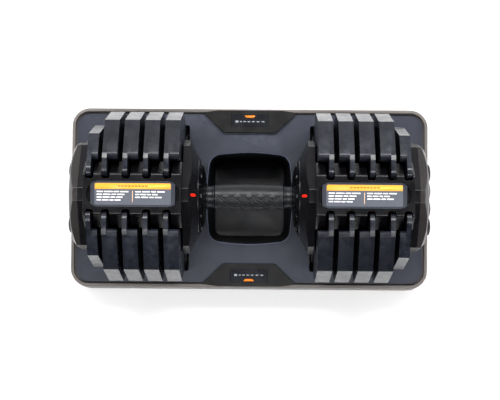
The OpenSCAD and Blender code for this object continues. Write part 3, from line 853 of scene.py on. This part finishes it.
def dial(side):
    node = f"dial_{side}"
    sign = SIDES[side]
    hub_x = max(abs(x) for x in span(node, 0))
    (rim_in, face_x), rim_out = DIAL_CONE[0], DIAL_CONE[-1][0]
    bulge, runs, bore_r, hub_r = 0.35, 24, 8.05, 12
    face = []
    for k in range(runs + 1):
        radius = rim_in + (rim_out - rim_in) * k / runs
        face.append((radius, dial_surface(radius) + bulge * math.sin(math.pi * k / runs) - bulge))
    profile = ([(bore_r, face_x)] + face
               + [(rim_out, 68.2), (48, 69.8), (40, 66), (hub_r, 66), (hub_r, hub_x), (bore_r, hub_x)])
    cone = lathe(f"cone_{node}", profile, sign, 128)
    place_piece(cone, "handle", DIAL, [node], width=0.4, segments=2, angle=35)

    def on_cone(radius, angle, across, out):
        """A point on the cone: across runs round it and out runs up it, in mm."""
        r = radius + out
        a = angle + across / radius
        return sign * (dial_surface(r) - 0.45) * MM, r * math.sin(a) * MM, (AXIS_Z + r * math.cos(a)) * MM

    settings, kilos, thickness = 10, 4, 0.3
    step = math.radians(360 / settings)
    printed = []
    for k in range(settings):
        # The highest setting is on top and each lower one follows by a tenth of a turn
        angle = step * k
        text = bpy.data.curves.new("numeral", "FONT")
        text.body = str(kilos * (settings - k))
        text.size = 4.8
        text.align_x = "CENTER"
        text.align_y = "CENTER"
        text.extrude = 0.12
        numeral = bpy.data.objects.new("numeral", text)
        bpy.context.scene.collection.objects.link(numeral)
        bpy.context.view_layer.update()
        mesh = bpy.data.meshes.new_from_object(numeral.evaluated_get(bpy.context.evaluated_depsgraph_get()))
        bpy.data.objects.remove(numeral)
        for vertex in mesh.vertices:
            u, v, w = vertex.co
            x, y, z = on_cone(45.0, angle, sign * u, v)
            vertex.co = (x - sign * w * MM, y, z)
        obj = bpy.data.objects.new("numeral", mesh)
        bpy.context.scene.collection.objects.link(obj)
        printed.append(obj)
        for half_step in (-0.5, 0.5):
            tick = [on_cone(48.0, angle + step * half_step, a, b)
                    for a, b in ((-0.25, -1.8), (0.25, -1.8), (0.25, 1.8), (-0.25, 1.8))]
            back = [(x + sign * thickness * MM, y, z) for x, y, z in tick]
            printed.append(rings_object("tick", [tick, back]))
    numbers = join(f"numbers_{side}", printed)
    place_piece(numbers, "handle", DIAL_GREY)


grip()
for side_name in SIDES:
    collar(side_name)
    dial(side_name)


# ---------------------------------------------------------------- tray

TRAY_X = span("tray_shell", 0)[1]
TRAY_Y = span("tray_shell", 1)[1]
TRAY_R = 29.0  # corners of the tray's foot in plan
RIM_Z = span("tray_shell", 2)[1]
DECK_Z = span("tray_deck", 2)[1]
DECK_X = span("tray_deck", 0)[1]
DECK_Y = span("tray_deck", 1)[1]
DECK_R = 17.8  # corners of the deck in plan
# Half outline of a badge panel as (x, y), and the marks on it as (middle, half length)
BADGE_HALF = [(37, 92.6), (64, 118.3), (64, 120.3), (44, 123.2)]
BADGE_MID = 109  # middle of the inset plate, from the tray's middle
DASHES = ((-18.4, 2.1), (-12.8, 1.5), (-7.4, 1.8), (-1.4, 1.9), (4.8, 1.9), (11.4, 2.0), (18.2, 2.2))


def badge_outline(grow=0.0):
    """Outline of a badge panel, grown on every side."""
    inner_y = BADGE_HALF[0][1]
    return both([(u + grow, v - grow if v == inner_y else v + grow) for u, v in BADGE_HALF])


def badge_notches():
    """Cutters for the seats of the two badge panels."""
    return [prism("notch", badge_outline(0.3), DECK_Z - 1.5, RIM_Z + 3, upright(1, sy)) for sy in (1, -1)]


def tray_shell():
    """Wall swept round the tray: flared foot, sloping side, rounded rim and the ledge under the deck."""
    profile = [(0, 3), (-0.1, 5), (-4.1, RIM_Z - 3.6), (-4.6, RIM_Z - 1.2), (-5.0, RIM_Z - 0.4),
               (-5.7, RIM_Z), (-8.4, RIM_Z), (-8.9, RIM_Z - 0.4), (-9, RIM_Z - 1.0), (-9, DECK_Z - 3),
               (-14.8, DECK_Z - 3), (-14.8, DECK_Z - 5.5), (-9, DECK_Z - 11), (-4.7, 3)]
    rings = []
    for grow, z in profile:
        outline = rounded(TRAY_X + grow, TRAY_Y + grow, TRAY_R + grow, 14)
        rings.append([(x * MM, y * MM, z * MM) for x, y in outline])
    wall = rings_object("wall_tray_shell", rings, closed=True)
    base = prism("base", rounded(TRAY_X - 4, TRAY_Y - 4, TRAY_R - 4, 14), 3, 6, upright())
    combine(wall, [base], "UNION")
    cuts = badge_notches()
    low, high = span("finger_grip_right", 2)
    gap = 0.2
    x0, x1, half = TRAY_X - 4.6, TRAY_X + 2, span("finger_grip_right", 1)[1] + gap
    for sx in (1, -1):
        pocket = [(x0, -half), (x1, -half), (x1, half), (x0, half)]
        cuts.append(prism("pocket", pocket, low - gap, high + gap, upright(sx)))
    combine(wall, cuts)
    place_piece(wall, "tray", SHELL, ["tray_shell"], width=0.5, segments=2, angle=30)


# Half length, half depth and corner radius of the hand well
WELL = (57.0, 61.5, 17.0)
WELL_FLOOR = (47.0, 50.0, 10.0)
WELL_BULGE = 3.0


def well_outline(t, grow=0.0):
    """Outline of the hand well from its floor, t = 0, to its mouth, t = 1."""
    half_x, half_y, radius = [a + (b - a) * t + grow for a, b in zip(WELL_FLOOR, WELL)]
    return rounded(half_x, half_y, radius, 10, bulge=WELL_BULGE * t)


def tray_deck():
    """Insert with the hand well and open bays over the cradles."""
    floor_z, wall, slab_z = 8.8, 2.5, DECK_Z - 3
    slab = prism("slab_tray_deck", rounded(DECK_X, DECK_Y, DECK_R, 12), slab_z, DECK_Z, upright())
    under = loft("under", [(well_outline(0, wall), floor_z - wall), (well_outline(0.12, wall), floor_z + 2),
                           (well_outline(1, wall), DECK_Z - 1)], upright())
    combine(slab, [under], "UNION")
    sections = [(0, 0, floor_z), (0.1, 1.5, floor_z + 1.5), (0.2, 1.5, floor_z + 6), (0.97, 0, DECK_Z - 2),
                (1, 0, DECK_Z - 1.2), (1, 1.8, DECK_Z + 0.6), (1, 1.8, DECK_Z + 3)]
    hollow = loft("hollow", [(well_outline(t, grow), z) for t, grow, z in sections], upright())
    bay_in = min(abs(x) for x in span("plate_right_1", 0)) - 5.5
    bay_out = max(abs(x) for x in span("plate_right_4", 0)) + 2
    end_in = min(abs(x) for x in span("end_housing_right", 0))
    end_out = span("end_cover_right", 0)[1] + 1.5
    cuts = [hollow]
    # Big plates, small plate, inner housing and end parts: from, to, half depth and corner radius
    bays = [(bay_in, bay_out, 102.5, 3), (bay_out - 3, end_in - 2, 84.5, 2), (69, bay_in + 2, 37, 3),
            (end_in - 3, end_out, 37, 3)]
    for sx in (1, -1):
        for low, high, half, radius in bays:
            corners = [(low, -half), (high, -half), (high, half), (low, half)]
            cuts.append(prism("bay", fillet(corners, radius), DECK_Z - 6, DECK_Z + 4, upright(sx)))
    cuts += badge_notches()
    combine(slab, cuts)
    place_piece(slab, "tray", DECK, ["tray_deck"], width=0.9, angle=35)


def badge(side):
    """Trapezoid panel on a long edge, with an inset plate that has plain marks."""
    sy = 1 if side == "back" else -1
    node = f"badge_panel_{side}"
    low, high = span(node, 2)
    place = upright(1, sy)
    outline = fillet(badge_outline(), [1.5, 2, 2, 14, 14, 2, 2, 1.5], 6)
    block = prism(f"trapezoid_{node}", outline, low, high, place)
    window = [(u, v + BADGE_MID) for u, v in rounded(26.2, 9.2, 1.2)]
    combine(block, [prism("window", window, high - 1, high + 2, place)])
    place_piece(block, "tray", BADGE, [node], width=1.0)
    outline = [(u, v + BADGE_MID) for u, v in rounded(26, 9, 1.1)]
    inset = prism(f"inset_{side}", outline, high - 0.95, high - 0.25, place)
    place_piece(inset, "tray", BADGE_PLATE, width=0.2, segments=2)
    mark = fillet([(-8.2, 116.3), (-5, 113.1), (5, 113.1), (8.2, 116.3)], 0.8)
    orange = prism(f"orange_mark_{side}", mark, high - 0.4, high - 0.12, place)
    place_piece(orange, "tray", MARK_ORANGE)
    dashes = []
    for k, (centre, half) in enumerate(DASHES):
        tall = 0.75 if k else 1.5  # the first dash is a block
        bar = [(centre + u, BADGE_MID - 1.4 + v) for u, v in rounded(half, tall, 0.5, 4)]
        dashes.append(prism("dash", bar, high - 0.4, high - 0.14, place))
    strip = join(f"plain_dashes_{side}", dashes)
    place_piece(strip, "tray", BADGE_WHITE)
    return inset


def finger_grip(side):
    """Four rounded lobes side by side on the end wall."""
    node = f"finger_grip_{side}"
    x0, x1 = sorted(abs(x) for x in span(node, 0))
    low, high = span(node, 2)
    half = span(node, 1)[1]
    lobes, rows, columns, base = 4, 14, 96, 1.8
    rings = []
    for i in range(rows + 1):
        t = i / rows
        z = low + (high - low) * t
        crown = 1 - abs(2 * t - 1) ** 4
        ring = []
        for j in range(columns + 1):
            bump = abs(math.sin(math.pi * (lobes * j / columns % 1))) ** 0.45
            rise = (0.30 + 0.70 * bump) * (0.45 + 0.55 * crown)
            ring.append((x0 + base + (x1 - x0 - base) * rise, -half + 2 * half * j / columns, z))
        ring += [(x0, half, z), (x0, -half, z)]
        rings.append([(SIDES[side] * x * MM, y * MM, z * MM) for x, y, z in ring])
    pad = rings_object(f"lobes_{node}", rings)
    place_piece(pad, "tray", SOFT, [node], width=0.4, segments=2, angle=50)


tray_shell()
tray_deck()
insets = [badge(side_name) for side_name in ("front", "back")]
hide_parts("badge_plates")
for side_name in SIDES:
    finger_grip(side_name)


# ---------------------------------------------------------------- CAD nodes that stay

def dress(node, material, width):
    """A CAD node whose shape is right: its own material and softened edges."""
    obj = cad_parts[node]
    obj.data.materials.clear()
    obj.data.materials.append(material)
    if width:
        weld = obj.modifiers.new("weld", "WELD")
        weld.merge_threshold = 1e-5
        flat = obj.modifiers.new("flat", "DECIMATE")
        flat.decimate_type = "DISSOLVE"
        flat.angle_limit = math.radians(1)
        soften(obj, width, 2, 35)


DRESSED = {
    CRADLE: ["cradle_left", "cradle_right"],
    BLACK: ["release_posts", "grip_core"],
    STEEL: ["tray_screws", "housing_screws", "lock_spring_left", "lock_spring_right", "handle_shaft",
            "shaft_spacers", "shaft_nuts", "index_wheels", "lock_slider_left", "lock_slider_right"],
    NYLON: ["inner_bushings", "end_bushings"],
    SOFT: ["tray_feet"],
    ORANGE: [f"selector_disc_{side_name}_{n}" for side_name in SIDES for n in PLATES],
}
PLAIN = {"lock_spring_left", "lock_spring_right"}
for material, nodes in DRESSED.items():
    for node in nodes:
        dress(node, material, 0.0 if node in PLAIN else 0.3)


# ---------------------------------------------------------------- floor, light and camera

def make_floor():
    floor = mesh_object("floor", [(-4, -4, 0), (4, -4, 0), (4, 4, 0), (-4, 4, 0)], [(0, 1, 2, 3)])
    s = Shader("pale_floor", 0.9, specular=0.1)
    tone = s.mix(s.noise(3), (0.93, 0.93, 0.93, 1), (0.96, 0.96, 0.96, 1))
    s.links.new(tone, s.surface.inputs["Base Color"])
    floor.data.materials.append(s.material)


def make_world():
    """Bright round the horizon and dim overhead, as in a studio with white walls."""
    world = bpy.data.worlds.new("studio")
    bpy.context.scene.world = world
    world.use_nodes = True
    nodes, links = world.node_tree.nodes, world.node_tree.links
    place = nodes.new("ShaderNodeTexCoord")
    split = nodes.new("ShaderNodeSeparateXYZ")
    ramp = nodes.new("ShaderNodeValToRGB")
    links.new(place.outputs["Generated"], split.inputs[0])
    links.new(split.outputs["Z"], ramp.inputs["Fac"])
    links.new(ramp.outputs["Color"], nodes["Background"].inputs["Color"])
    stops = ramp.color_ramp.elements
    stops[0].position, stops[0].color = 0.0, (0.9, 0.9, 0.9, 1)
    stops[1].position, stops[1].color = 0.8, (0.10, 0.10, 0.11, 1)
    middle = stops.new(0.45)
    middle.color = (0.55, 0.55, 0.56, 1)
    # The back of the room is brighter than the front
    back = nodes.new("ShaderNodeMapRange")
    for key, number in zip(("From Min", "From Max", "To Min", "To Max"), (-0.4, 0.4, 0.08, 1.2)):
        back.inputs[key].default_value = number
    links.new(split.outputs["Y"], back.inputs["Value"])
    links.new(back.outputs["Result"], nodes["Background"].inputs["Strength"])


def area_light(name, at, size, power):
    """A rectangular light that points at the object's middle. Places and sizes are in metres."""
    light = bpy.data.lights.new(name, "AREA")
    light.shape = "RECTANGLE"
    light.size, light.size_y = size
    light.energy = power
    obj = bpy.data.objects.new(name, light)
    bpy.context.scene.collection.objects.link(obj)
    obj.location = at
    obj.rotation_euler = (Vector((0, 0, 0.1)) - Vector(at)).to_track_quat("-Z", "Y").to_euler()


def make_camera():
    """Almost straight above, a little to the front and to the right."""
    tilt, roll = math.radians(1.65), math.radians(0.45)
    distance, aim = 1.75, Vector((0.0016, -0.0039, AXIS_Z * MM))
    aside = 0.010  # metres to the right of the aim
    camera = bpy.data.cameras.new("camera")
    camera.lens = 92.66
    camera.sensor_width = 36
    obj = bpy.data.objects.new("camera", camera)
    bpy.context.scene.collection.objects.link(obj)
    obj.location = aim + distance * Vector((0, -math.sin(tilt), math.cos(tilt)))
    obj.location.x += aside
    obj.rotation_euler = (tilt, math.atan2(aside, distance), roll)
    bpy.context.scene.camera = obj


make_floor()
make_world()
area_light("back_softbox", (0, 1.2, 1.9), (2.8, 0.5), 66)
area_light("front_softbox", (0, -0.8, 1.95), (2.8, 0.35), 34)
area_light("left_strip", (-1.7, 0.1, 0.8), (2.2, 0.3), 18)
area_light("right_strip", (1.7, 0.1, 0.8), (2.2, 0.3), 18)
make_camera()
bpy.context.scene.view_settings.view_transform = "Standard"

bpy.context.view_layer.update()
